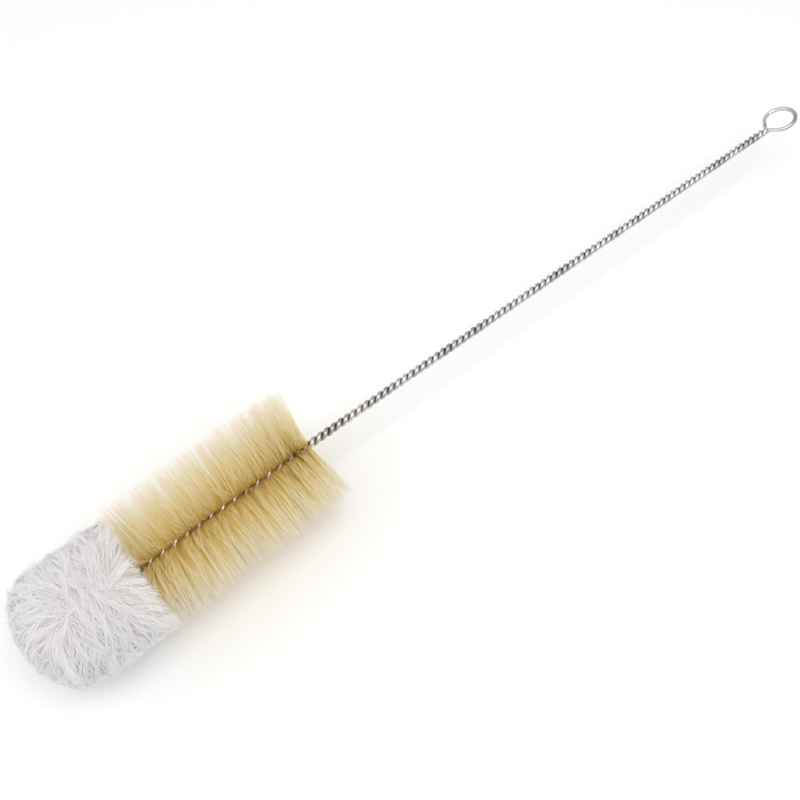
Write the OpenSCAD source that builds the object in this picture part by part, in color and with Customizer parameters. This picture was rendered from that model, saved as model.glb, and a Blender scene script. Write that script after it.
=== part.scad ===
// Bottle brush for lab glassware. One wire is bent round into a ring, and its two legs are twisted
// together down the handle and through the head. The legs hold a spiral of natural bristles, and a
// fibre tuft over the tip. The brush lies on its head: the handle runs along X with the ring at +X.

/* [Bristles] */
// Diameter across the bristle tips
brush_d = 60; // [40:1:90]
// Length of the bristle section, measured at the tips
bristle_len = 89; // [60:1:140]
// How far the tips at the handle end lean past their roots
fan_back = 10; // [4:0.5:14]
// How far the tips beside the tuft lean past their roots
fan_front = 3; // [1:0.5:6]
// Angle that each of the two spiral wings of bristles fills at the tips
wing_angle = 134; // [90:1:144]
// Depth of the notches between clumps of bristle tips
clump_depth = 1.8; // [0.4:0.1:3]
// Thickness of the bristle layer where the wires squeeze it
layer_t = 0.5; // [0.4:0.05:0.9]

/* [Tuft] */
// How much narrower the fibre tuft is than the bristles
tuft_trim = 1.5; // [0:0.5:10]
// Length of the fibre tuft
tuft_len = 56; // [40:1:80]
// Length over which the free end of the tuft rounds off
tuft_round = 19; // [10:1:30]
// Number of fibre locks round the tuft
lock_count = 12; // [8:1:20]
// Depth of the hollows between locks
lock_depth = 3; // [0.5:0.1:5]

/* [Wire] */
// Diameter of the wire
wire_d = 2.2; // [1.4:0.1:2.6]
// Length of the handle, from the bristles to the ring
handle_len = 312; // [150:1:400]
// Length of one full turn of the two legs in the handle
handle_pitch = 7.64; // [6:0.02:14]
// Length of one full turn of the two legs in the head
head_pitch = 12.6; // [8:0.1:20]
// How far the cut ends of the wire stop short of the tip
end_cover = 8; // [4:0.5:16]

/* [Ring] */
// Diameter of the ring, measured along the middle of the wire
ring_d = 16; // [12:0.5:40]
// Length of the straight legs that close the ring
ring_neck = 1; // [0.4:0.1:6]
// How far the ring sits to one side of the handle
ring_side = -1.1; // [-3:0.1:3]
// Slope of the ring's plane, seen along the handle
ring_turn = -19.5; // [-90:0.5:90]
// Angle at which the ring is bent up from the line of the handle
ring_lift = 14; // [0:1:30]

/* [At rest] */
// Bend of the head away from the line of the handle, flat on the table
head_bend = 2; // [0:0.5:5]
// Depth of the flat that the brush's own weight presses into the head
flat_depth = 0.8; // [0.3:0.1:2]

/* [Hidden] */

// Clear space left between a leg and what it passes, and between the two legs
wire_gap = 0.16;
leg_gap = 0.2;
// Clear space between the tuft and the bristles beside it
seat_gap = 0.3;

// Facets of the wire, its rings of points to each turn, and those of the bristle spiral
wire_sides = 6;
handle_steps = 6;
head_steps = 8;
ring_steps = 22;
wing_steps = 13;
rim_points = 4;

// The faceted wire has the same section area as a round one
wire_corner = wire_d / 2 * sqrt(2 * PI / (wire_sides * sin(360 / wire_sides)));
wire_flat = wire_corner * cos(180 / wire_sides);

// Radius at which each leg winds, with room for the chords between its rings of points
handle_wind = (wire_flat + leg_gap / 2) / cos(180 / handle_steps);
head_wind = (wire_flat + layer_t / 2 + wire_gap) / cos(180 / head_steps);

// The bristles are as high above the table as their flat leaves them
brush_r = brush_d / 2;
tuft_r = (brush_d - tuft_trim) / 2;
axis_height = brush_r - flat_depth;

// Places along the brush, with zero where the bristles end and the bare handle begins
root_back = -fan_back;
twist_change = root_back + wire_d;
root_front = fan_front - bristle_len;
tuft_back = -bristle_len - seat_gap;
tip_x = tuft_back - tuft_len;
wire_end = tip_x + end_cover;

// Clear radius round the two legs in the head, where the wings spread and which the tuft is bored to
core_bore = head_wind + wire_corner + wire_gap;
// Half the angle of a wing as it comes out past the legs, and its half thickness between them
wing_spread = 50;
wing_waist = 0.7 * layer_t;
// Share of a wing's width that varies from clump to clump
wing_vary = 0.16;

// Least and most depth of a lock's tip and of the hollow beside it, as shares of the lock's depth
lock_tip = [0, 0.25];
lock_hollow = [0.6, 1];
// Angles of the rows that round off the tuft, and shares of the way from there to the bristles
round_rows = [18 : 12 : 90];
side_rows = [0.3, 0.55, 0.8];

// The ring, measured in its own plane from where the twist stops
ring_r = ring_d / 2;
ring_mid = [ring_neck + ring_r, ring_side];

// Middle of the brush on the table
ring_far = handle_len + (ring_neck + ring_d) * cos(ring_lift) + wire_flat;
mid_x = (ring_far + tip_x * cos(head_bend)) / 2;
mid_y = -bristle_len * sin(head_bend) / 2;

function mix(a, b, t) = a + (b - a) * t;
function unit(v) = v / norm(v);

// A settled, uneven value from 0 to 1 for clump or lock j of row k
function uneven(k, j) = 0.5 + 0.5 * sin(137.5 * k + 211 * j * (1 + k % 3));

// Point at distance x along the brush, r out from its axis, at angle a round it
function polar(x, r, a) = [x, r * cos(a), r * sin(a)];

// Distance from the axis at angle a, pressed flat where it would pass the table
function pressed(r, a) = sin(a) < 0 ? min(r, -axis_height / sin(a)) : r;

// The two legs have a left-hand twist, close in the handle and open in the head
function handle_turn(x) = ring_turn - 360 * (x - handle_len) / handle_pitch;
function head_turn(x) = handle_turn(twist_change) - 360 * (x - twist_change) / head_pitch;
function twist(x) = x > twist_change ? handle_turn(x) : head_turn(x);

// Bends what lies in the head off the line of the handle
function bent(p) = p[0] > 0 ? p : [
    p[0] * cos(head_bend) - p[1] * sin(head_bend),
    p[0] * sin(head_bend) + p[1] * cos(head_bend),
    p[2]
];

// Side faces between rows of n points each, and a flat end face on one row. The fold across a side
// runs with the twist, or against it in the columns that are marked.
function sides(rows, n, against = []) = [
    for (i = [0 : rows - 2], j = [0 : n - 1], upper = [false, true])
        let (a = i * n + j, b = i * n + (j + 1) % n)
            against[j] == true ? (upper ? [a + n, b + n, b] : [a, a + n, b])
            : (upper ? [a, b + n, b] : [a, a + n, b + n])
];
function end_face(row, n) = [for (j = [0 : n - 1]) row * n + j];
function flipped(face) = [for (i = [len(face) - 1 : -1 : 0]) face[i]];
function flat_list(lists) = [for (list = lists) for (item = list) item];

// Stations along one leg, from the cut end to the ring
head_stations = round((twist_change - wire_end) / head_pitch * head_steps);
handle_stations = round((handle_len - twist_change) / handle_pitch * handle_steps);
leg_x = [
    for (i = [0 : head_stations - 1]) mix(wire_end, twist_change, i / head_stations),
    for (i = [0 : handle_stations]) mix(twist_change, handle_len, i / handle_stations)
];

// Each station of the wire is its middle and its outward direction
function leg_station(x, side) =
    let (a = twist(x) + side, r = x > twist_change ? handle_wind : head_wind)
        [bent(polar(x, r, a)), polar(0, 1, a)];
function in_ring(u, v) = [
    u * cos(ring_lift),
    v * cos(ring_turn) - u * sin(ring_lift) * sin(ring_turn),
    v * sin(ring_turn) + u * sin(ring_lift) * cos(ring_turn)
];
function ring_station(a) = [
    [handle_len, 0, 0] + in_ring(ring_mid[0] + ring_r * cos(a), ring_mid[1] + ring_r * sin(a)),
    in_ring(cos(a), sin(a))
];

// Angle round the ring at which a leg from side v of the handle runs into it
function leg_angle(v) = 180 + atan2(ring_mid[1] - v, ring_mid[0]);
function leg_spread(v) = acos(ring_r / norm([ring_mid[0], ring_mid[1] - v]));
ring_from = leg_angle(handle_wind) - leg_spread(handle_wind);
ring_to = leg_angle(-handle_wind) + leg_spread(-handle_wind) - 360;

wire_path = concat(
    [for (x = leg_x) leg_station(x, 0)],
    [for (i = [0 : ring_steps]) ring_station(mix(ring_from, ring_to, i / ring_steps))],
    [for (i = [len(leg_x) - 1 : -1 : 0]) leg_station(leg_x[i], 180)]
);

// Ring of corner points round station i of a path, with a flat towards the inside of its bend
function wire_section(path, i) =
    let (
        last = len(path) - 1,
        along = unit(path[min(i + 1, last)][0] - path[max(i - 1, 0)][0]),
        out = unit(path[i][1] - along * (path[i][1] * along)),
        across = cross(along, out)
    ) [
        for (j = [0 : wire_sides - 1])
            let (a = (j + 0.5) * 360 / wire_sides)
                path[i][0] + wire_corner * (cos(a) * out + sin(a) * across)
    ];

// How far the tips lean past their roots, t of the way from the tuft to the handle. The bristles
// stand straight but for the last few at each end, which have no neighbours to lean on.
function lean(t) = fan_back * pow(t, 6) - fan_front * pow(1 - t, 3);

// One wing of one slice, as points of place, radius and angle: out past the leg on one side of the
// squeezed layer, round the clumps of tips, back past the other leg, and across to the next wing
function wing_points(k, root_x, rim_x) =
    let (
        half = wing_angle / 2 * (1 - wing_vary * uneven(k, 1)),
        waist_r = norm([head_wind, wing_waist]),
        waist_half = atan2(wing_waist, head_wind)
    ) [
        [root_x, waist_r, -waist_half],
        [root_x, core_bore, -wing_spread],
        for (j = [0 : rim_points - 1])
            [rim_x, brush_r - clump_depth * uneven(k, j), half * (2 * j / (rim_points - 1) - 1)],
        [root_x, core_bore, wing_spread],
        [root_x, waist_r, waist_half],
        [root_x, layer_t / 2, 90]
    ];
wing_count = rim_points + 5;

// One slice of the spiral: two like wings, turned with the twist of the legs
function wing_slice(k, rows) =
    let (root_x = mix(root_front, root_back, k / rows), rim_x = root_x + lean(k / rows)) [
        for (side = [0, 180], p = wing_points(k + side, root_x, rim_x))
            let (a = p[2] + side + twist(root_x) + 90) polar(p[0], pressed(p[1], a), a)
    ];

// Faces that close one end of the spiral, whose points begin at first: the two wings, rung by rung,
// and the layer between them
function moved(face, by) = [for (point = face) point + by];
function wing_ends(first) =
    let (last = wing_count - 2, rungs = [0 : last / 2 - 1]) flat_list([
        for (wing = [first, first + wing_count]) [
            for (i = rungs) moved([i, i + 1, last - i], wing),
            for (i = rungs)
                if (i + 1 < last - i - 1) moved([i + 1, last - i - 1, last - i], wing),
            moved([0, last, last + 1], wing)
        ],
        [
            moved([0, last + 1, 2 * wing_count - 1], first),
            moved([wing_count, 2 * wing_count - 1, last + 1], first)
        ]
    ]);

// Outline of the tuft from its tip back to the bristles, as pairs of place and radius
tuft_outline = concat(
    [
        for (a = round_rows)
            [tip_x + tuft_round * (1 - cos(a)), tuft_r * sin(a)]
    ],
    [
        for (t = side_rows)
            [mix(tip_x + tuft_round, tuft_back, t), tuft_r]
    ],
    [[tuft_back, tuft_r - lock_depth / 3]]
);

function tuft_row(i) = [
    for (j = [0 : 2 * lock_count - 1])
        let (
            a = 180 * j / lock_count,
            band = (i + j) % 2 == 0 ? lock_tip : lock_hollow,
            r = tuft_outline[i][1] - lock_depth * mix(band[0], band[1], uneven(i, j))
        ) polar(tuft_outline[i][0], pressed(r, a), a)
];
function bore_row(x) = [for (j = [0 : 2 * lock_count - 1]) polar(x, core_bore, 180 * j / lock_count)];

// One doubled wire: a leg, the ring, and the other leg
module twisted_wire() {
    rows = len(wire_path);
    points = flat_list([for (i = [0 : rows - 1]) wire_section(wire_path, i)]);
    faces = concat(
        [end_face(0, wire_sides)],
        sides(rows, wire_sides),
        [flipped(end_face(rows - 1, wire_sides))]
    );
    color([0.67, 0.67, 0.66]) polyhedron(points, faces, convexity = 12);
}

// Double spiral of bristles, threaded between the legs
module bristle_fill() {
    rows = round((root_back - root_front) / head_pitch * wing_steps);
    count = 2 * wing_count;
    between_legs = [for (j = [0 : count - 1]) j % wing_count < 1 || j % wing_count > rim_points + 1];
    points = flat_list([for (k = [0 : rows]) wing_slice(k, rows)]);
    faces = concat(
        wing_ends(0),
        sides(rows + 1, count, between_legs),
        [for (face = wing_ends(rows * count)) flipped(face)]
    );
    color([0.86, 0.77, 0.55]) polyhedron(points, faces, convexity = 12);
}

// Pom-pom of fibre locks round the end of the core
module fibre_tuft() {
    count = 2 * lock_count;
    rows = [for (i = [0 : len(tuft_outline) - 1]) tuft_row(i)];
    all_rows = concat(rows, [bore_row(tuft_back), bore_row(wire_end - wire_corner)]);
    faces = concat(
        [end_face(0, count)],
        sides(len(all_rows), count),
        [flipped(end_face(len(all_rows) - 1, count))]
    );
    color([0.92, 0.91, 0.91]) polyhedron(flat_list(all_rows), faces, convexity = 8);
}

// Lays the brush on the table, middle over the origin
module at_rest() {
    translate([-mid_x, -mid_y, axis_height]) children();
}

// Turns what sits on the core with the bend of the head
module on_head() {
    rotate([0, 0, head_bend]) children();
}

at_rest() twisted_wire();
at_rest() on_head() bristle_fill();
at_rest() on_head() fibre_tuft();
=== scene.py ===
"""Bottle brush for lab glassware: a doubled, twisted steel wire with a hanging ring, a spiral of natural
bristles and a white fibre tuft over the tip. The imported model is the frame, and each operator makes
the finished pieces for one of its nodes."""

import math

import bpy
from mathutils import Euler, Matrix, Vector


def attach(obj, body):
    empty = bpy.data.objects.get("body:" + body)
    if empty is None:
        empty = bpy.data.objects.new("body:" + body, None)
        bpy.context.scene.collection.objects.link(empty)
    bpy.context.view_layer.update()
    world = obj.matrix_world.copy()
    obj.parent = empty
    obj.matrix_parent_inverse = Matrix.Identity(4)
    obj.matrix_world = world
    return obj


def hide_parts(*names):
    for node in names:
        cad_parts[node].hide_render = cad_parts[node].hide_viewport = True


bl_info = {
    "name": "Bottle Brush",
    "version": (1, 0, 0),
    "blender": (4, 5, 0),
    "location": "3D View > Sidebar > Brush",
    "description": "Makes the wire, bristles and fibre tuft of a bottle brush, and its stage",
    "category": "Object",
}

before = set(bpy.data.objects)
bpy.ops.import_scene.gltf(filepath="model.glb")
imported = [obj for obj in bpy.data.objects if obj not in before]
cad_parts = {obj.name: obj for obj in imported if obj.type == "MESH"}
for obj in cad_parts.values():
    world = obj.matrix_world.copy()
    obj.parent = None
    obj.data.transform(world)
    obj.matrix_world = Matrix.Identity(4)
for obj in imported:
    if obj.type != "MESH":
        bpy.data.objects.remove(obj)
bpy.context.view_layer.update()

MM = 0.001
TAU = 2 * math.pi

# Places along the brush, in metres from where the bristles end and the bare handle begins
HANDLE_LENGTH = 312 * MM
ROOT_BACK = 1.5 * MM
ROOT_FRONT = -87.5 * MM
TWIST_CHANGE = -7.8 * MM
TUFT_BACK = -89.3 * MM
TIP = -145.3 * MM
WIRE_END = -137.3 * MM
AXIS_HEIGHT = 29.2 * MM
HEAD_BEND = math.radians(2)
REST = Vector((-92.166 * MM, 1.553 * MM, AXIS_HEIGHT))

# The photograph's camera: where it stands, how it is turned, and its lens and sensor in millimetres
CAMERA_PLACE = Vector((-171.44, -169.21, 421.95)) * MM
CAMERA_AZIMUTH = math.radians(-38.171)
CAMERA_ELEVATION = math.radians(62.138)
CAMERA_LENS = 42.75
CAMERA_SENSOR = 36

# The square softboxes: where each stands and how wide it is, and the fill's share of the key's power
KEY_PLACE = Vector((0.05, -0.3, 1.25))
KEY_SIDE = 1.0
FILL_PLACE = Vector((-0.9, 0.5, 1.1))
FILL_SIDE = 1.2
FILL_SHARE = 0.5
# Half the width of the floor, and the least height of hairs and of the tuft's inside above it
FLOOR_HALF = 3.0
HAIR_HEIGHT = 0.1 * MM
HEART_HEIGHT = 0.4 * MM

# Bristles: the share of strands that fill out the handle end, and where along the wing they begin
END_SHARE = 0.1
END_FROM = 0.85
# How far roots and tips stray along the wire, the tips less at the handle end
ROOT_STRAY = 0.4 * MM
TIP_STRAY = 3.0 * MM
END_STRAY = 1.6 * MM
# How far a clump's tips shift along the wire, and how far clumps and hairs turn round it
CLUMP_SHIFT = 1.1 * MM
CLUMP_TURN = 0.16
HAIR_TURN = 0.06
# The widest parting of a strand, as a multiple of the parting's own angle
WIDEST_PARTING = 1.8
# How much shorter the shortest strands are, and those at the very end, as a share of the reach
SHORTER = 0.08
# Least reach of a clump and of a hair, as shares of the whole
CLUMP_REACH = 0.97
HAIR_REACH = 0.975
# Where a hair begins to flare, as shares of its reach and of its lean, and how far it bows
FLARE_REACH = 0.45
FLARE_LEAN = 0.3
HAIR_BOW = 0.8 * MM
HAIR_SEGMENTS = 3

# Tuft: the angle to each side of the parting that a half covers, so that the two halves overlap
HALF_SPAN = 1.75
# How far a lock, and a fibre in it, curls off the flow
LOCK_CURL = 0.6
FIBRE_CURL = 0.2
# Shares of the tuft's radius: where fibres begin, where their tips lie at the least before they vary,
# and what lumps, locks and single fibres add to that
BED = (0.8, 0.93)
CREST = 0.86
LUMP_SCALE = 110.0
LUMP_RISE = 0.2
LOCK_RISE = 0.05
FIBRE_RISE = (-0.03, 0.02)
# Where fibres begin along the flow from their lock's root, how far a lock sways, and through what turn
BEHIND = (-8 * MM, 1 * MM)
SWAY = (0.3 * MM, 2.0 * MM)
SWAY_TURN = 5.2
# A lock's width at its tip, as a share of that at its root
LOCK_TIP = 0.3
FIBRE_SEGMENTS = 4
# A hair's or a fibre's thickness at its tip, as a share of that at its root
TIP_THICKNESS = 0.5
# The inside of the tuft, as a share of its size
HEART_DEPTH = 0.86


def handle_turn(x):
    """Angle of the first leg round the handle's axis, falling with x: a left-hand twist."""
    wire = bpy.context.scene.brush_wire
    return wire.ring_slope - TAU * (x - HANDLE_LENGTH) / wire.handle_pitch


def head_turn(x):
    """The same angle in the head, where the bristle layer opens the twist."""
    wire = bpy.context.scene.brush_wire
    return handle_turn(TWIST_CHANGE) - TAU * (x - TWIST_CHANGE) / wire.head_pitch


def at_rest(point):
    """A point of the handle's own frame, set on the table."""
    return Vector(point) + REST


def on_head(point):
    """A point of the head, bent off the handle's line and set on the table."""
    return Matrix.Rotation(HEAD_BEND, 3, "Z") @ Vector(point) + REST


class Tree:
    """A geometry node tree that is written value by value."""

    def __init__(self, name, inputs=()):
        self.tree = bpy.data.node_groups.new(name, "GeometryNodeTree")
        face = self.tree.interface
        face.new_socket("Geometry", in_out="INPUT", socket_type="NodeSocketGeometry")
        face.new_socket("Geometry", in_out="OUTPUT", socket_type="NodeSocketGeometry")
        self.keys = {}
        self.values = {}
        for label, kind, value in inputs:
            socket = face.new_socket(label, in_out="INPUT", socket_type=f"NodeSocket{kind}")
            self.keys[label] = socket.identifier
            self.values[label] = value
        self.entry = self.tree.nodes.new("NodeGroupInput")
        self.exit = self.tree.nodes.new("NodeGroupOutput")

    def __getitem__(self, label):
        return self.entry.outputs[label]

    def put(self, kind, inputs=None, **settings):
        """A new node with its settings, and its inputs linked or set."""
        node = self.tree.nodes.new(kind)
        for key, value in settings.items():
            setattr(node, key, value)
        for key, value in (inputs or {}).items():
            found = [s for s in node.inputs if s.enabled and s.name == key]
            self.feed(found[0], value)
        return node

    def feed(self, socket, value):
        if isinstance(value, bpy.types.NodeSocket):
            self.tree.links.new(value, socket)
        else:
            socket.default_value = value

    def value(self, operation, *values):
        node = self.tree.nodes.new("ShaderNodeMath")
        node.operation = operation
        for socket, value in zip(node.inputs, values):
            self.feed(socket, value)
        return node.outputs[0]

    def vector(self, operation, *values):
        node = self.tree.nodes.new("ShaderNodeVectorMath")
        node.operation = operation
        sockets = [s for s in node.inputs if s.enabled]
        for socket, value in zip(sockets, values):
            self.feed(socket, value)
        return [s for s in node.outputs if s.enabled][0]

    def add(self, a, b):
        return self.value("ADD", a, b)

    def times(self, a, b):
        return self.value("MULTIPLY", a, b)

    def mix(self, a, b, share):
        """The value that lies that share of the way from a to b."""
        return self.value("MULTIPLY_ADD", self.value("SUBTRACT", b, a), share, a)

    def joined(self, x, y, z):
        return self.put("ShaderNodeCombineXYZ", {"X": x, "Y": y, "Z": z}).outputs[0]

    def parts(self, vector):
        return self.put("ShaderNodeSeparateXYZ", {"Vector": vector}).outputs

    def chance(self, seed, item, low=0.0, high=1.0):
        """A settled random value for each item."""
        shifted = self.add(self["Seed"], float(seed))
        inputs = {"Min": low, "Max": high, "ID": item, "Seed": shifted}
        return self.put("FunctionNodeRandomValue", inputs, data_type="FLOAT").outputs[1]

    def spread(self, seed, item):
        """A random value from -1 to 1 that is mostly near 0."""
        first, second = self.chance(seed, item), self.chance(seed + 1, item)
        return self.value("SUBTRACT", self.add(first, second), 1.0)

    def noise(self, place, scale, detail=1.0):
        inputs = {"Vector": place, "Scale": scale, "Detail": detail}
        return self.put("ShaderNodeTexNoise", inputs, noise_dimensions="3D").outputs

    def keep(self, geometry, name, value, kind="FLOAT"):
        """Stores a value on the points of a geometry."""
        inputs = {"Geometry": geometry, "Name": name, "Value": value}
        node = self.put("GeometryNodeStoreNamedAttribute", inputs, data_type=kind, domain="POINT")
        return node.outputs[0]

    def kept(self, name, kind="FLOAT"):
        return self.put("GeometryNodeInputNamedAttribute", {"Name": name}, data_type=kind).outputs[0]

    def drop(self, geometry, *names):
        for name in names:
            inputs = {"Geometry": geometry, "Name": name}
            geometry = self.put("GeometryNodeRemoveAttribute", inputs).outputs[0]
        return geometry

    def hairs(self, points, segments):
        """One thin three-sided hair on each point, along Z from 0 to 1, as a plain mesh."""
        sizes = {
            "Vertices": 3, "Side Segments": segments,
            "Radius Top": 0.0, "Radius Bottom": 1.0, "Depth": 1.0,
        }
        hair = self.put("GeometryNodeMeshCone", sizes).outputs[0]
        placed = self.put("GeometryNodeInstanceOnPoints", {"Points": points, "Instance": hair}).outputs[0]
        return self.put("GeometryNodeRealizeInstances", {"Geometry": placed}).outputs[0]

    def fine_tip(self, height):
        """Place along a hair, with the point at its end kept short."""
        shaft = self.times(height, 1.45)
        point = self.value("MULTIPLY_ADD", height, 0.1, 0.9)
        return self.value("MINIMUM", shaft, point)

    def moved(self, geometry, position):
        inputs = {"Geometry": geometry, "Position": position}
        return self.put("GeometryNodeSetPosition", inputs).outputs[0]

    def finish(self, geometry, smooth=False):
        """Shading, plain mesh, material and the tree's output."""
        inputs = {"Geometry": geometry, "Shade Smooth": smooth}
        shaded = self.put("GeometryNodeSetShadeSmooth", inputs).outputs[0]
        plain = self.put("GeometryNodeRealizeInstances", {"Geometry": shaded}).outputs[0]
        inputs = {"Geometry": plain, "Material": self["Material"]}
        self.feed(self.exit.inputs[0], self.put("GeometryNodeSetMaterial", inputs).outputs[0])


def grown(name, tree, values, source=None):
    """The mesh that a tree makes, as a plain piece at the origin."""
    holder = bpy.data.objects.new(name + "_maker", source or bpy.data.meshes.new(name + "_seed"))
    bpy.context.scene.collection.objects.link(holder)
    modifier = holder.modifiers.new("Grow", "NODES")
    modifier.node_group = tree.tree
    for label, value in {**tree.values, **values}.items():
        modifier[tree.keys[label]] = value
    depsgraph = bpy.context.evaluated_depsgraph_get()
    mesh = bpy.data.meshes.new_from_object(
        holder.evaluated_get(depsgraph), preserve_all_data_layers=True, depsgraph=depsgraph
    )
    holder.modifiers.remove(modifier)
    bpy.data.objects.remove(holder)
    if not mesh.polygons:
        raise RuntimeError(f"the tree of {name} made no faces")
    mesh.name = name
    return placed(name, mesh)


def placed(name, mesh):
    piece = bpy.data.objects.new(name, mesh)
    bpy.context.scene.collection.objects.link(piece)
    return piece


def stand_for(piece, node):
    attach(piece, "root")
    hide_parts(node)


class Finish:
    """A material with a Principled shader, written node by node."""

    def __init__(self, name, **sockets):
        self.material = bpy.data.materials.new(name)
        self.material.use_nodes = True
        self.nodes = self.material.node_tree.nodes
        self.links = self.material.node_tree.links
        self.shader = next(n for n in self.nodes if n.type == "BSDF_PRINCIPLED")
        self.output = next(n for n in self.nodes if n.type == "OUTPUT_MATERIAL")
        for key, value in sockets.items():
            self.shader.inputs[key.replace("_", " ").title()].default_value = value

    def put(self, kind, inputs=None, **settings):
        node = self.nodes.new(kind)
        for key, value in settings.items():
            setattr(node, key, value)
        for key, value in (inputs or {}).items():
            found = [s for s in node.inputs if s.enabled and s.name == key]
            if isinstance(value, bpy.types.NodeSocket):
                self.links.new(value, found[0])
            else:
                found[0].default_value = value
        return node

    def attribute(self, name):
        return self.put("ShaderNodeAttribute", attribute_name=name).outputs["Fac"]

    def ramp(self, share, stops):
        node = self.put("ShaderNodeValToRGB", {"Fac": share})
        ends = node.color_ramp.elements
        for element, (place, colour) in zip(ends, (stops[0], stops[-1])):
            element.position, element.color = place, (*colour, 1)
        for place, colour in stops[1:-1]:
            ends.new(place).color = (*colour, 1)
        return node.outputs[0]

    def mixed(self, share, first, second, blend="MIX"):
        node = self.put("ShaderNodeMix", data_type="RGBA", blend_type=blend)
        for key, value in (("Factor", share), ("A", first), ("B", second)):
            socket = [s for s in node.inputs if s.enabled and s.name == key][0]
            if isinstance(value, bpy.types.NodeSocket):
                self.links.new(value, socket)
            else:
                socket.default_value = value
        return [s for s in node.outputs if s.enabled][0]

    def noise(self, scale, stretch=(1, 1, 1), detail=2.0):
        where = self.put("ShaderNodeTexCoord").outputs["Object"]
        turned = self.put("ShaderNodeMapping", {"Vector": where, "Scale": stretch}).outputs[0]
        inputs = {"Vector": turned, "Scale": scale, "Detail": detail}
        return self.put("ShaderNodeTexNoise", inputs).outputs[0]

    def spanned(self, value, low, high):
        inputs = {"Value": value, "To Min": low, "To Max": high}
        return self.put("ShaderNodeMapRange", inputs).outputs[0]

    def connect(self, value, socket):
        self.links.new(value, self.shader.inputs[socket])

    def lit_through(self, colour, share):
        """Lets that share of the light pass, as thin fibres do."""
        passing = self.put("ShaderNodeBsdfTranslucent", {"Color": colour}).outputs[0]
        both = self.put("ShaderNodeMixShader")
        both.inputs[0].default_value = share
        self.links.new(self.shader.outputs[0], both.inputs[1])
        self.links.new(passing, both.inputs[2])
        self.links.new(both.outputs[0], self.output.inputs[0])


def length(name, description, value):
    return bpy.props.FloatProperty(
        name=name, description=description, default=value, unit="LENGTH", precision=4
    )


def share(name, description, value):
    return bpy.props.FloatProperty(
        name=name, description=description, default=value, min=0.0, max=1.0, subtype="FACTOR"
    )


def colour(name, description, value):
    return bpy.props.FloatVectorProperty(
        name=name, description=description, default=value, size=3, min=0.0, max=1.0, subtype="COLOR"
    )


def count(name, description, value):
    return bpy.props.IntProperty(name=name, description=description, default=value, min=1)


def angle(name, description, value):
    return bpy.props.FloatProperty(
        name=name, description=description, default=math.radians(value), subtype="ANGLE", unit="ROTATION"
    )


class BrushWire(bpy.types.PropertyGroup):
    """Sizes and finish of the doubled wire."""

    diameter: length("Wire", "Diameter of the steel wire", 2.2 * MM)
    handle_pitch: length("Handle pitch", "Length of one turn in the handle", 7.64 * MM)
    head_pitch: length("Head pitch", "Length of one turn in the head", 12.6 * MM)
    head_wind: length("Head radius", "Radius at which the legs wind round the bristles", 1.38 * MM)
    ring_diameter: length("Ring", "Diameter of the ring along the middle of the wire", 16 * MM)
    ring_neck: length("Ring neck", "Length of the straight legs that close the ring", 1 * MM)
    ring_side: length("Ring offset", "How far the ring sits to one side", -1.1 * MM)
    ring_slope: angle("Ring slope", "Slope of the ring's plane, seen along the handle", -19.5)
    ring_lift: angle("Ring lift", "Angle at which the ring is bent up from the handle", 14)
    sides: count("Facets", "Facets round the wire", 12)
    turn_steps: count("Steps", "Rings of points to one turn of the twist", 20)
    steel: colour("Steel", "Colour of the bright wire", (0.75, 0.73, 0.72))
    # Painted shade: the colour that the steel darkens to deep in the grooves of the twist
    groove_shade: colour("Groove shade", "How the steel darkens in the grooves of the twist", (0.70, 0.655, 0.63))


class BrushBristles(bpy.types.PropertyGroup):
    """Sizes and colours of the bristle spiral."""

    hairs: count("Hairs", "Hairs in each of the two wings of the spiral", 6500)
    strand: count("Strand", "Hairs that lie together as one strand", 3)
    reach: length("Reach", "Distance from the core to the longest tips", 32.0 * MM)
    thickness: length("Hair", "Diameter of a hair at its root", 0.17 * MM)
    fan: angle("Fan", "Widest angle of a strand off its wing", 130)
    lean_back: length("Lean to handle", "How far the last tips lean towards the handle", 3.5 * MM)
    lean_front: length("Lean to tip", "How far the first tips lean towards the tuft", 4 * MM)
    crown: angle("Crown", "Direction round the axis of the side that is combed to the tip", 113)
    parted: angle("Parted", "How far the hairs of that side part to show the wire", 5)
    combed: length("Combed", "How far the last tips of that side lean towards the tip", 5 * MM)
    clumps: count("Clumps", "Clumps of hair tips along a wing", 44)
    gather: share("Gather", "How far tips are drawn to the middle of their clump", 0.35)
    root: colour("Root", "Colour beside the wire", (0.994, 0.91, 0.48))
    middle: colour("Middle", "Colour half way out", (0.99, 0.932, 0.585))
    tip: colour("Tip", "Colour of the fine tips", (0.988, 0.973, 0.92))


class BrushTuft(bpy.types.PropertyGroup):
    """Sizes and colours of the fibre tuft."""

    fibres: count("Fibres", "Fibres on each side of the tuft", 8000)
    locks: count("Locks", "Locks of fibres on each side of the tuft", 800)
    radius: length("Radius", "Radius of the tuft", 28.6 * MM)
    round: length("Rounding", "Length over which the free end rounds off", 19 * MM)
    thickness: length("Fibre", "Diameter of a strand at its root", 0.25 * MM)
    reach: length("Strand", "Length of the longest strands", 23 * MM)
    lock_width: length("Lock width", "Half width of a lock at its root", 2.0 * MM)
    facing: angle("Parting", "Where the parting lies round the tuft", 105.5)
    parting: length("Parting place", "Distance of the parting's middle from the tip", 34 * MM)
    parting_length: length("Parting length", "Length of the parting along the tuft", 14 * MM)
    fuller: share("Fuller", "How much fuller the tuft is on its front side than behind", 0.05)
    bright: colour("Bright", "Colour of the fibre tips", (0.999, 0.996, 0.994))
    shade: colour("Shade", "Colour deep between the fibres", (0.99, 0.984, 0.983))


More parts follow.
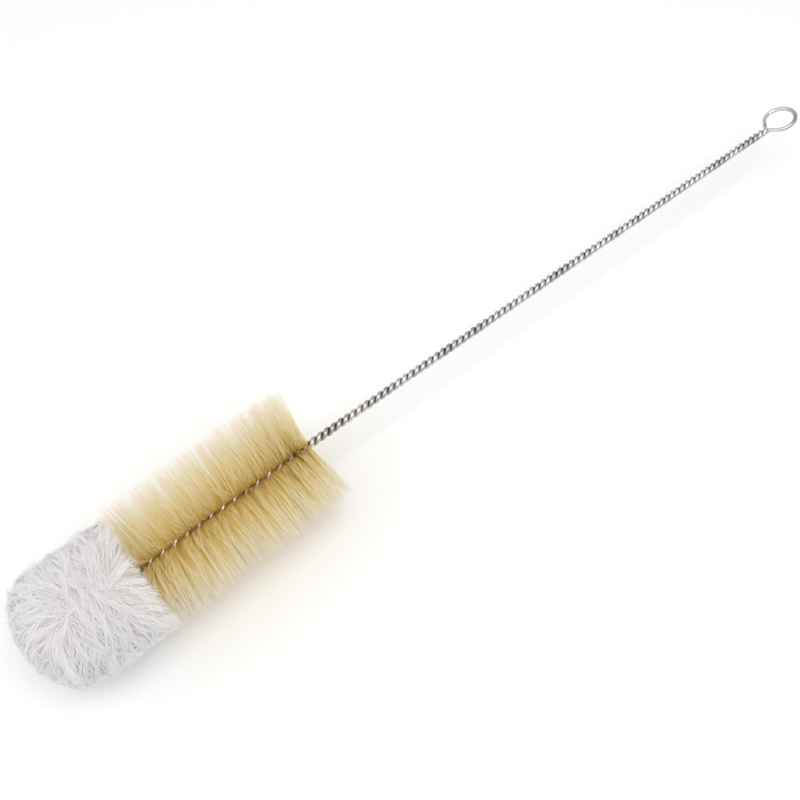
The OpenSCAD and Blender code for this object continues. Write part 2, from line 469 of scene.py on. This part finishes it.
class BrushStage(bpy.types.PropertyGroup):
    """Floor, light and camera."""

    floor: colour("Floor", "Colour of the floor", (0.99, 0.99, 0.99))
    sky: bpy.props.FloatProperty(
        name="Sky", description="Strength of the soft light all round", default=0.62, min=0
    )
    key: bpy.props.FloatProperty(
        name="Key", description="Power of the main softbox", default=7.0, min=0, unit="POWER"
    )


class BRUSH_OT_wire(bpy.types.Operator):
    """Bend, ring and twist the steel wire"""

    bl_idname = "bottle_brush.wire"
    bl_label = "Make the twisted wire"

    def execute(self, context):
        wire = context.scene.brush_wire
        steel = steel_finish(wire)
        curve = bpy.data.curves.new("wire_path", "CURVE")
        curve.dimensions = "3D"
        points = wire_path(wire)
        spline = curve.splines.new("POLY")
        spline.points.add(len(points) - 1)
        for place, point in zip(spline.points, points):
            place.co = (*point, 1)
        tree = Tree("Wire", [
            ("Radius", "Float", wire.diameter / 2),
            ("Sides", "Int", wire.sides),
            ("Material", "Material", steel),
        ])
        inputs = {"Resolution": tree["Sides"], "Radius": tree["Radius"]}
        ring = tree.put("GeometryNodeCurvePrimitiveCircle", inputs)
        swept = tree.put("GeometryNodeCurveToMesh", {
            "Curve": tree["Geometry"], "Profile Curve": ring.outputs[0], "Scale": 1.0, "Fill Caps": True,
        })

        # How deep a point lies in the groove between the legs: 0 on the outside, 1 on the twist's axis.
        # The steel's painted shade grows with it
        off = tree.vector("SUBTRACT", tree.put("GeometryNodeInputPosition").outputs[0], tuple(REST))
        bend = tree.times(tree.value("LESS_THAN", tree.parts(off)[0], 0.0), -HEAD_BEND)
        inputs = {"Vector": off, "Angle": bend}
        off = tree.parts(tree.put("ShaderNodeVectorRotate", inputs, rotation_type="Z_AXIS").outputs[0])
        radius = tree.vector("LENGTH", tree.joined(0.0, off[1], off[2]))
        wrapped = tree.value("DIVIDE", radius, tree.times(tree["Radius"], 2.0))
        swept = tree.keep(swept.outputs[0], "groove", tree.value("SUBTRACT", 1.0, wrapped))
        tree.finish(swept, smooth=True)
        stand_for(grown("twisted_wire_round", tree, {}, curve), "twisted_wire")
        return {"FINISHED"}


def wire_path(wire):
    """Middle line of the wire: one leg from its cut end, the ring, and the other leg back."""
    head = int((TWIST_CHANGE - WIRE_END) / wire.head_pitch * wire.turn_steps)
    handle = int((HANDLE_LENGTH - TWIST_CHANGE) / wire.handle_pitch * wire.turn_steps)
    places = [WIRE_END + (TWIST_CHANGE - WIRE_END) * i / head for i in range(head)]
    places += [TWIST_CHANGE + (HANDLE_LENGTH - TWIST_CHANGE) * i / handle for i in range(handle + 1)]
    easing = 6 * MM
    wind = wire.diameter / 2 * 1.01

    def leg(x, turn):
        blend = min(1, max(0, (x - TWIST_CHANGE) / easing + 0.5))
        r = wire.head_wind + (wind - wire.head_wind) * blend
        a = turn + (handle_turn(x) if x > TWIST_CHANGE else head_turn(x))
        point = (x, r * math.cos(a), r * math.sin(a))
        return at_rest(point) if x > 0 else on_head(point)

    r = wire.ring_diameter / 2
    middle = (wire.ring_neck + r, wire.ring_side)
    plane = Matrix.Rotation(wire.ring_slope, 3, "X") @ Matrix.Rotation(-wire.ring_lift, 3, "Y")

    def meets(side):
        """Angles round the ring at which a straight leg from that side runs into it."""
        along, across = middle[0], middle[1] - side
        facing = math.pi + math.atan2(across, along)
        return facing, math.acos(r / math.hypot(along, across))

    start, finish = meets(wind), meets(-wind)
    first, last = start[0] - start[1], finish[0] + finish[1] - TAU
    steps = 72
    ring = []
    for i in range(steps + 1):
        a = first + (last - first) * i / steps
        flat = Vector((middle[0] + r * math.cos(a), middle[1] + r * math.sin(a), 0))
        ring.append(at_rest(Vector((HANDLE_LENGTH, 0, 0)) + plane @ flat))
    return [leg(x, 0) for x in places] + ring + [leg(x, math.pi) for x in reversed(places)]


def steel_finish(wire):
    finish = Finish("bright_steel_wire", metallic=1.0)
    grain = finish.noise(260.0, (0.25, 1, 1), 3.0)
    stain = finish.noise(70.0)
    dark = tuple(0.6 * c for c in wire.steel)
    tint = finish.ramp(stain, [(0.4, tuple(wire.steel)), (0.62, dark)])
    # Painted shade: the steel darkens deep in the twist's grooves, where the legs shadow each other
    groove_shade = finish.ramp(finish.attribute("groove"), [(0.1, (1, 1, 1)), (0.5, tuple(wire.groove_shade))])
    finish.connect(finish.mixed(1.0, tint, groove_shade, "MULTIPLY"), "Base Color")
    finish.connect(finish.spanned(grain, 0.2, 0.4), "Roughness")
    return finish.material


class BRUSH_OT_bristles(bpy.types.Operator):
    """Lay the bristles between the legs as a double spiral"""

    bl_idname = "bottle_brush.bristles"
    bl_label = "Make the bristles"

    def execute(self, context):
        bristles = context.scene.brush_bristles
        finish = bristle_finish(bristles)
        tree = bristle_tree(context, finish)
        for name, side in (("bristle_wing_a", 0.0), ("bristle_wing_b", math.pi)):
            wing = grown(name, tree, {"Side": side, "Seed": 10 if side else 60})
            stand_for(wing, "bristle_fill")
        return {"FINISHED"}


def bristle_tree(context, finish):
    bristles, wire = context.scene.brush_bristles, context.scene.brush_wire
    tree = Tree("Bristles", [
        ("Hairs", "Int", bristles.hairs),
        ("Strand", "Int", bristles.strand),
        ("Side", "Float", 0.0),
        ("Seed", "Int", 1),
        ("Reach", "Float", bristles.reach),
        ("Thickness", "Float", bristles.thickness),
        ("Fan", "Float", bristles.fan),
        ("Clumps", "Int", bristles.clumps),
        ("Gather", "Float", bristles.gather),
        ("Lean Back", "Float", bristles.lean_back),
        ("Lean Front", "Float", bristles.lean_front),
        ("Crown", "Float", bristles.crown),
        ("Combed", "Float", bristles.combed),
        ("Parted", "Float", bristles.parted),
        ("Pitch", "Float", wire.head_pitch),
        ("Material", "Material", finish),
    ])
    points = tree.put("GeometryNodePoints", {"Count": tree["Hairs"]}).outputs[0]
    item = tree.put("GeometryNodeInputIndex").outputs[0]
    strand = tree.value("FLOOR", tree.value("DIVIDE", item, tree["Strand"]))
    along = tree.chance(1, strand)
    last = tree.value("LESS_THAN", tree.chance(17, strand), END_SHARE)
    along = tree.mix(along, tree.mix(END_FROM, 1.0, along), last)
    clump = tree.value("FLOOR", tree.times(along, tree["Clumps"]))
    middle = tree.value("DIVIDE", tree.add(clump, 0.5), tree["Clumps"])
    root_x = tree.add(
        tree.mix(ROOT_FRONT, ROOT_BACK, along), tree.chance(14, item, -ROOT_STRAY, ROOT_STRAY)
    )
    tip_along = tree.mix(along, middle, tree["Gather"])
    late = tree.times(tree["Lean Back"], tree.value("POWER", tip_along, 12.0))
    from_front = tree.value("SUBTRACT", 1.0, tip_along)
    early = tree.times(tree["Lean Front"], tree.value("POWER", from_front, 3.0))
    loose = tree.mix(TIP_STRAY, END_STRAY, tree.value("POWER", along, 8.0))
    stray = tree.times(tree.spread(2, strand), loose)
    shift = tree.chance(4, clump, -CLUMP_SHIFT, CLUMP_SHIFT)

    turned = tree.value("DIVIDE", tree.value("SUBTRACT", root_x, TWIST_CHANGE), tree["Pitch"])
    base = tree.value("MULTIPLY_ADD", turned, -TAU, handle_turn(TWIST_CHANGE) % TAU + TAU / 4)
    off = tree.add(
        tree.times(tree.spread(5, strand), tree["Fan"]), tree.chance(7, clump, -CLUMP_TURN, CLUMP_TURN)
    )
    base = tree.add(base, tree["Side"])
    facing = tree.add(tree.add(base, off), tree.chance(18, item, -HAIR_TURN, HAIR_TURN))

    # Hairs near the crown part to both sides, so that the wire shows, and lean to the tip there
    side = tree.value("WRAP", tree.value("SUBTRACT", facing, tree["Crown"]), math.pi, -math.pi)
    parted = tree.times(tree["Parted"], tree.chance(19, strand, 0.0, WIDEST_PARTING))
    closed = tree.value("MULTIPLY_ADD", parted, -1 / math.pi, 1.0)
    side = tree.add(tree.times(side, closed), tree.times(tree.value("SIGN", side), parted))
    facing = tree.add(tree["Crown"], side)
    upward = tree.value("MAXIMUM", tree.value("COSINE", side), 0.0)
    upward = tree.times(upward, upward)
    lean = tree.mix(late, tree.times(tree.times(tree["Combed"], tip_along), -1.0), upward)
    lean = tree.add(tree.value("SUBTRACT", lean, early), tree.add(stray, shift))
    tip_x = tree.add(tree.mix(ROOT_FRONT, ROOT_BACK, tip_along), lean)

    # A few strands are short, and all of them at the very end of the wing
    short = tree.value("POWER", tree.chance(8, strand), 4.0)
    reach = tree.times(tree["Reach"], tree.value("MULTIPLY_ADD", short, -SHORTER, 1.0))
    reach = tree.times(reach, tree.chance(9, clump, CLUMP_REACH, 1.0))
    very_end = tree.value("POWER", along, 16.0)
    reach = tree.times(reach, tree.value("MULTIPLY_ADD", very_end, -SHORTER, 1.0))
    reach = tree.times(reach, tree.chance(15, item, HAIR_REACH, 1.0))

    root = tree.joined(root_x, 0.0, 0.0)
    tip = tree.joined(
        tip_x,
        tree.times(reach, tree.value("COSINE", facing)),
        tree.times(reach, tree.value("SINE", facing)),
    )
    straight = tree.times(reach, FLARE_REACH)
    flare = tree.joined(
        tree.mix(root_x, tip_x, FLARE_LEAN),
        tree.times(straight, tree.value("COSINE", facing)),
        tree.times(straight, tree.value("SINE", facing)),
    )
    bow = tree.joined(*[tree.chance(seed, item, -HAIR_BOW, HAIR_BOW) for seed in (10, 11, 12)])
    points = tree.keep(points, "root", root, "FLOAT_VECTOR")
    points = tree.keep(points, "flare", tree.vector("ADD", flare, bow), "FLOAT_VECTOR")
    points = tree.keep(points, "tip", tip, "FLOAT_VECTOR")
    points = tree.keep(points, "tone", tree.mix(tree.chance(13, item), tree.chance(16, strand), 0.7))

    hairs = tree.hairs(points, HAIR_SEGMENTS)
    local = tree.parts(tree.put("GeometryNodeInputPosition").outputs[0])
    t = tree.fine_tip(local[2])
    hairs = tree.keep(hairs, "along", t)
    rear = tree.value("SUBTRACT", 1.0, t)

    # The hair's middle line is a smooth curve from root to tip that flare pulls to itself
    ends = {name: tree.kept(name, "FLOAT_VECTOR") for name in ("root", "flare", "tip")}
    path = tree.vector("SUBTRACT", ends["tip"], ends["root"])
    centre = tree.vector("SCALE", ends["root"], tree.times(rear, rear))
    bent = tree.vector("SCALE", ends["flare"], tree.times(tree.times(t, rear), 2.0))
    centre = tree.vector("ADD", centre, bent)
    centre = tree.vector("ADD", centre, tree.vector("SCALE", ends["tip"], tree.times(t, t)))
    across = tree.vector("NORMALIZE", tree.vector("CROSS_PRODUCT", path, (1, 0, 0)))
    along_x = tree.vector("NORMALIZE", tree.vector("CROSS_PRODUCT", across, path))
    ring = tree.vector("NORMALIZE", tree.joined(local[0], local[1], 0.0))
    parts = tree.parts(ring)
    radius = tree.times(tree.times(tree["Thickness"], 0.5), tree.mix(1.0, TIP_THICKNESS, t))
    offset = tree.vector(
        "ADD", tree.vector("SCALE", across, parts[0]), tree.vector("SCALE", along_x, parts[1])
    )
    place = tree.vector("ADD", centre, tree.vector("SCALE", offset, radius))
    hairs = tree.moved(hairs, on_table(tree, place))
    tree.finish(tree.drop(hairs, *ends))
    return tree


def on_table(tree, place):
    """Turns a place of the head with its bend, sets it on the table, and presses it flat there."""
    inputs = {"Vector": place, "Angle": HEAD_BEND}
    turned = tree.put("ShaderNodeVectorRotate", inputs, rotation_type="Z_AXIS")
    set_down = tree.parts(tree.vector("ADD", turned.outputs[0], tuple(REST)))
    return tree.joined(set_down[0], set_down[1], tree.value("MAXIMUM", set_down[2], HAIR_HEIGHT))


def bristle_finish(bristles):
    finish = Finish("natural_bristle", roughness=0.5)
    finish.shader.inputs["Specular IOR Level"].default_value = 0.25
    hue = finish.ramp(finish.attribute("along"), [
        (0.02, tuple(bristles.root)),
        (0.42, tuple(bristles.middle)),
        (0.88, tuple(bristles.tip)),
    ])
    pale = finish.mixed(finish.attribute("tone"), (0.99, 0.965, 0.90, 1), (1, 1, 1, 1))
    tinted = finish.mixed(1.0, hue, pale, "MULTIPLY")
    finish.connect(tinted, "Base Color")
    finish.lit_through(tinted, 0.3)
    return finish.material


class BRUSH_OT_tuft(bpy.types.Operator):
    """Lay the white fibres over the tip"""

    bl_idname = "bottle_brush.tuft"
    bl_label = "Make the fibre tuft"

    def execute(self, context):
        tuft = context.scene.brush_tuft
        finish = fibre_finish(tuft)
        form = tuft_form(tuft)
        form.materials.append(finish)
        stand_for(placed("tuft_heart", form), "fibre_tuft")
        tree = tuft_tree(tuft, finish)
        for name, turn in (("tuft_fibres_front", 0.0), ("tuft_fibres_back", math.pi)):
            half = grown(name, tree, {"Facing": tuft.facing + turn, "Seed": 200 if turn else 300})
            stand_for(half, "fibre_tuft")
        return {"FINISHED"}


def tuft_form(tuft):
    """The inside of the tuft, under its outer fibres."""
    rows, steps, depth = 20, 40, HEART_DEPTH
    waist = TIP + tuft.round
    points, faces = [], []
    for i in range(rows + 1):
        x = TIP + (TUFT_BACK - TIP) * i / rows
        x = waist + (x - waist) * (depth if x < waist else 0.99)
        inward = max(0, (waist - x) / (tuft.round * depth))
        r = tuft.radius * depth * math.sqrt(max(0, 1 - inward * inward))
        r *= 1 - 0.3 * max(0, 1 - (TUFT_BACK - x) / (10 * MM)) ** 2
        for j in range(steps):
            a = TAU * j / steps
            point = on_head((x, r * math.cos(a), r * math.sin(a)))
            points.append((point.x, point.y, max(point.z, HEART_HEIGHT)))
    for i in range(1, rows):
        for j in range(steps):
            k = (j + 1) % steps
            faces.append((i * steps + j, (i + 1) * steps + j, (i + 1) * steps + k, i * steps + k))
    faces.append([steps + j for j in range(steps)])
    faces.append([rows * steps + j for j in reversed(range(steps))])
    mesh = bpy.data.meshes.new("tuft_heart")
    mesh.from_pydata(points[steps:], [], [[v - steps for v in face] for face in faces])
    mesh.shade_smooth()
    return mesh


def tuft_tree(tuft, finish):
    tree = Tree("Tuft", [
        ("Fibres", "Int", tuft.fibres),
        ("Locks", "Int", tuft.locks),
        ("Facing", "Float", 0.0),
        ("Seed", "Int", 1),
        ("Radius", "Float", tuft.radius),
        ("Rounding", "Float", tuft.round),
        ("Thickness", "Float", tuft.thickness),
        ("Reach", "Float", tuft.reach),
        ("Lock Width", "Float", tuft.lock_width),
        ("Parting", "Float", tuft.parting),
        ("Parting Length", "Float", tuft.parting_length),
        ("Fuller", "Float", tuft.fuller),
        ("Material", "Material", finish),
    ])
    points = tree.put("GeometryNodePoints", {"Count": tree["Fibres"]}).outputs[0]
    item = tree.put("GeometryNodeInputIndex").outputs[0]
    lock = tree.value("FLOORED_MODULO", item, tree["Locks"])
    waist = tree.add(tree["Rounding"], TIP)

    # Where each lock grows, evenly over this side of the tuft
    x = tree.chance(1, lock, TIP + 0.5 * MM, TUFT_BACK - 2 * MM)
    past_waist = tree.value("DIVIDE", tree.value("SUBTRACT", waist, x), tree["Rounding"])
    inward = tree.value("MAXIMUM", past_waist, 0.0)
    narrowed = tree.value("SQRT", tree.value("SUBTRACT", 1.0, tree.times(inward, inward)))
    girth = tree.times(tree["Radius"], narrowed)
    turn = tree.add(tree["Facing"], tree.chance(2, lock, -HALF_SPAN, HALF_SPAN))
    y = tree.times(girth, tree.value("COSINE", turn))
    z = tree.times(girth, tree.value("SINE", turn))
    root = tree.joined(x, y, z)
    bulge = tree.value("DIVIDE", tree["Radius"], tree["Rounding"])
    lift = tree.times(tree.times(tree.times(inward, tree["Radius"]), -1.0), bulge)
    normal = tree.vector("NORMALIZE", tree.joined(lift, y, z))
    near = tree.value("SUBTRACT", x, tree.add(tree["Parting"], TIP))
    half = tree.times(tree["Parting Length"], 0.5)
    near = tree.value("MINIMUM", tree.value("MAXIMUM", near, tree.times(half, -1.0)), half)
    pole = tree.joined(
        tree.add(tree.add(tree["Parting"], TIP), near),
        tree.times(tree["Radius"], tree.value("COSINE", tree["Facing"])),
        tree.times(tree["Radius"], tree.value("SINE", tree["Facing"])),
    )

    # Locks lie away from the parting, with a little curl
    away = tree.vector("SUBTRACT", root, pole)
    inside = tree.vector("DOT_PRODUCT", away, normal)
    flow = tree.vector("NORMALIZE", tree.vector("SUBTRACT", away, tree.vector("SCALE", normal, inside)))
    across = tree.vector("CROSS_PRODUCT", normal, flow)
    curl = tree.add(
        tree.chance(3, lock, -LOCK_CURL, LOCK_CURL), tree.chance(15, item, -FIBRE_CURL, FIBRE_CURL)
    )
    flow = tree.vector("NORMALIZE", tree.vector("ADD", flow, tree.vector("SCALE", across, curl)))
    across = tree.vector("CROSS_PRODUCT", normal, flow)
    reach = tree.times(tree["Reach"], tree.chance(4, lock, 0.4, 1.0))
    room = tree.value("SUBTRACT", TUFT_BACK + 0.6 * MM, x)
    ahead = tree.value("MAXIMUM", tree.parts(flow)[0], 0.02)
    reach = tree.value("MINIMUM", reach, tree.add(tree.value("DIVIDE", room, ahead), 1.5 * MM))
    behind = tree.chance(8, item, *BEHIND)
    whole = tree.value("SUBTRACT", tree.times(reach, tree.chance(5, item, 0.75, 1.05)), behind)
    lumps = tree.noise(root, LUMP_SCALE)[0]
    crest = tree.value("MULTIPLY_ADD", lumps, LUMP_RISE, CREST)
    crest = tree.add(crest, tree.chance(9, lock, -LOCK_RISE, LOCK_RISE))
    fuller = tree.times(tree["Fuller"], tree.value("SUBTRACT", 1.0, inward))
    crest = tree.value("SUBTRACT", crest, tree.times(fuller, tree.value("COSINE", turn)))

    points = tree.keep(points, "root", root, "FLOAT_VECTOR")
    points = tree.keep(points, "flow", flow, "FLOAT_VECTOR")
    points = tree.keep(points, "across", across, "FLOAT_VECTOR")
    points = tree.keep(points, "normal_out", normal, "FLOAT_VECTOR")
    points = tree.keep(points, "reach", whole)
    points = tree.keep(points, "beside", tree.times(tree["Lock Width"], tree.spread(6, item)))
    points = tree.keep(points, "behind", behind)
    points = tree.keep(points, "crest", tree.add(crest, tree.chance(10, item, *FIBRE_RISE)))
    points = tree.keep(points, "bed", tree.chance(16, item, *BED))
    points = tree.keep(points, "wave", tree.chance(11, lock, 0.0, TAU))
    points = tree.keep(points, "sway", tree.chance(12, lock, *SWAY))
    tone = tree.add(tree.chance(13, item, 0.0, 0.5), tree.chance(14, lock, 0.0, 0.5))
    points = tree.keep(points, "tone", tone)

    hairs = tree.hairs(points, FIBRE_SEGMENTS)
    local = tree.parts(tree.put("GeometryNodeInputPosition").outputs[0])
    t = local[2]
    hairs = tree.keep(hairs, "along", t)
    rear = tree.value("SUBTRACT", 1.0, t)

    # Along the flow, drawn together towards the tip of the lock, and swaying
    ahead = tree.add(tree.times(tree.kept("reach"), t), tree.kept("behind"))
    beside = tree.times(tree.kept("beside"), tree.mix(1.0, LOCK_TIP, t))
    swing = tree.value("SINE", tree.add(tree.times(t, SWAY_TURN), tree.kept("wave")))
    beside = tree.add(beside, tree.times(tree.times(swing, tree.kept("sway")), t))
    root, flow, across, normal = (
        tree.kept(name, "FLOAT_VECTOR") for name in ("root", "flow", "across", "normal_out")
    )
    place = tree.vector("ADD", root, tree.vector("SCALE", flow, ahead))
    place = tree.vector("ADD", place, tree.vector("SCALE", across, beside))

    # Wrapped round the tuft: out of its depth at the root, on its surface at the tip
    parts = tree.parts(place)
    over = tree.value("MINIMUM", tree.value("SUBTRACT", parts[0], waist), 0.0)
    axis_x = tree.value("SUBTRACT", parts[0], over)
    shape = tree.joined(
        tree.value("DIVIDE", over, tree["Rounding"]),
        tree.value("DIVIDE", parts[1], tree["Radius"]),
        tree.value("DIVIDE", parts[2], tree["Radius"]),
    )
    size = tree.vector("LENGTH", shape)
    rise = tree.value("SUBTRACT", 1.0, tree.times(rear, rear))
    depth = tree.mix(tree.kept("bed"), tree.kept("crest"), rise)
    axis = tree.joined(axis_x, 0.0, 0.0)
    out = tree.vector("SCALE", tree.vector("SUBTRACT", place, axis), tree.value("DIVIDE", depth, size))
    centre = tree.vector("ADD", axis, out)

    ring = tree.parts(tree.vector("NORMALIZE", tree.joined(local[0], local[1], 0.0)))
    radius = tree.times(tree.times(tree["Thickness"], 0.5), tree.mix(1.0, TIP_THICKNESS, t))
    offset = tree.vector(
        "ADD", tree.vector("SCALE", across, ring[0]), tree.vector("SCALE", normal, ring[1])
    )
    place = tree.vector("ADD", centre, tree.vector("SCALE", offset, radius))
    hairs = tree.moved(hairs, on_table(tree, place))
    names = (
        "root", "flow", "across", "normal_out", "reach", "beside",
        "behind", "crest", "bed", "wave", "sway",
    )
    tree.finish(tree.drop(hairs, *names))
    return tree


def fibre_finish(tuft):
    finish = Finish("white_fibre", roughness=0.7)
    hue = finish.ramp(finish.attribute("along"), [(0.05, tuple(tuft.shade)), (0.75, tuple(tuft.bright))])
    pale = finish.mixed(finish.attribute("tone"), (0.985, 0.982, 0.983, 1), (1, 1, 1, 1))
    tinted = finish.mixed(1.0, hue, pale, "MULTIPLY")
    finish.connect(tinted, "Base Color")
    finish.lit_through(tinted, 0.4)
    return finish.material


class BRUSH_OT_stage(bpy.types.Operator):
    """Set up the floor, the light and the camera"""

    bl_idname = "bottle_brush.stage"
    bl_label = "Set the stage"

    def execute(self, context):
        stage = context.scene.brush_stage
        make_floor(stage)
        make_light(context.scene, stage)
        data = bpy.data.cameras.new("photo_camera")
        data.lens, data.sensor_width, data.sensor_fit = CAMERA_LENS, CAMERA_SENSOR, "HORIZONTAL"
        data.clip_start, data.clip_end = 0.01, 20
        camera = bpy.data.objects.new("photo_camera", data)
        context.scene.collection.objects.link(camera)
        camera.location = CAMERA_PLACE
        camera.rotation_euler = Euler((math.pi / 2 - CAMERA_ELEVATION, 0, CAMERA_AZIMUTH))
        context.scene.camera = camera
        context.scene.view_settings.view_transform = "Standard"
        # White fibre is white because light passes from fibre to fibre many times
        light_paths = context.scene.cycles
        light_paths.max_bounces = light_paths.transmission_bounces = 20
        light_paths.diffuse_bounces = 14
        return {"FINISHED"}


def make_floor(stage):
    half = FLOOR_HALF
    mesh = bpy.data.meshes.new("floor")
    corners = [(-half, -half, 0), (half, -half, 0), (half, half, 0), (-half, half, 0)]
    mesh.from_pydata(corners, [], [(0, 1, 2, 3)])
    finish = Finish("pale_floor", roughness=0.9)
    finish.shader.inputs["Base Color"].default_value = (*stage.floor, 1)
    finish.shader.inputs["Specular IOR Level"].default_value = 0.0
    mesh.materials.append(finish.material)
    placed("floor", mesh)


def make_light(scene, stage):
    world = bpy.data.worlds.new("soft_studio")
    scene.world = world
    world.use_nodes = True
    sky = world.node_tree.nodes["Background"]
    sky.inputs["Color"].default_value = (1, 1, 1, 1)
    sky.inputs["Strength"].default_value = stage.sky
    softbox("key_softbox", stage.key, KEY_SIDE, KEY_PLACE)
    softbox("fill_softbox", stage.key * FILL_SHARE, FILL_SIDE, FILL_PLACE)


def softbox(name, power, side, place):
    """A square softbox that faces the brush."""
    data = bpy.data.lights.new(name, "AREA")
    data.energy, data.size = power, side
    lamp = bpy.data.objects.new(name, data)
    bpy.context.scene.collection.objects.link(lamp)
    lamp.location = place
    lamp.rotation_euler = (-place).to_track_quat("-Z", "Y").to_euler()


class BRUSH_PT_panel(bpy.types.Panel):
    """Sizes, colours and steps of the bottle brush"""

    bl_label = "Bottle Brush"
    bl_idname = "BRUSH_PT_panel"
    bl_space_type = "VIEW_3D"
    bl_region_type = "UI"
    bl_category = "Brush"

    def draw(self, context):
        for operator, settings in STEPS:
            box = self.layout.box()
            group = getattr(context.scene, settings)
            for key in group.__annotations__:
                box.prop(group, key)
            box.operator(operator.bl_idname)


SETTINGS = {
    "brush_wire": BrushWire,
    "brush_bristles": BrushBristles,
    "brush_tuft": BrushTuft,
    "brush_stage": BrushStage,
}
STEPS = (
    (BRUSH_OT_wire, "brush_wire"),
    (BRUSH_OT_bristles, "brush_bristles"),
    (BRUSH_OT_tuft, "brush_tuft"),
    (BRUSH_OT_stage, "brush_stage"),
)
CLASSES = (*SETTINGS.values(), *(operator for operator, _ in STEPS), BRUSH_PT_panel)


def register():
    for item in CLASSES:
        bpy.utils.register_class(item)
    for name, group in SETTINGS.items():
        setattr(bpy.types.Scene, name, bpy.props.PointerProperty(type=group))


def unregister():
    for name in SETTINGS:
        delattr(bpy.types.Scene, name)
    for item in reversed(CLASSES):
        bpy.utils.unregister_class(item)


def main():
    register()
    bpy.ops.bottle_brush.wire()
    bpy.ops.bottle_brush.bristles()
    bpy.ops.bottle_brush.tuft()
    bpy.ops.bottle_brush.stage()


if __name__ == "__main__":
    main()
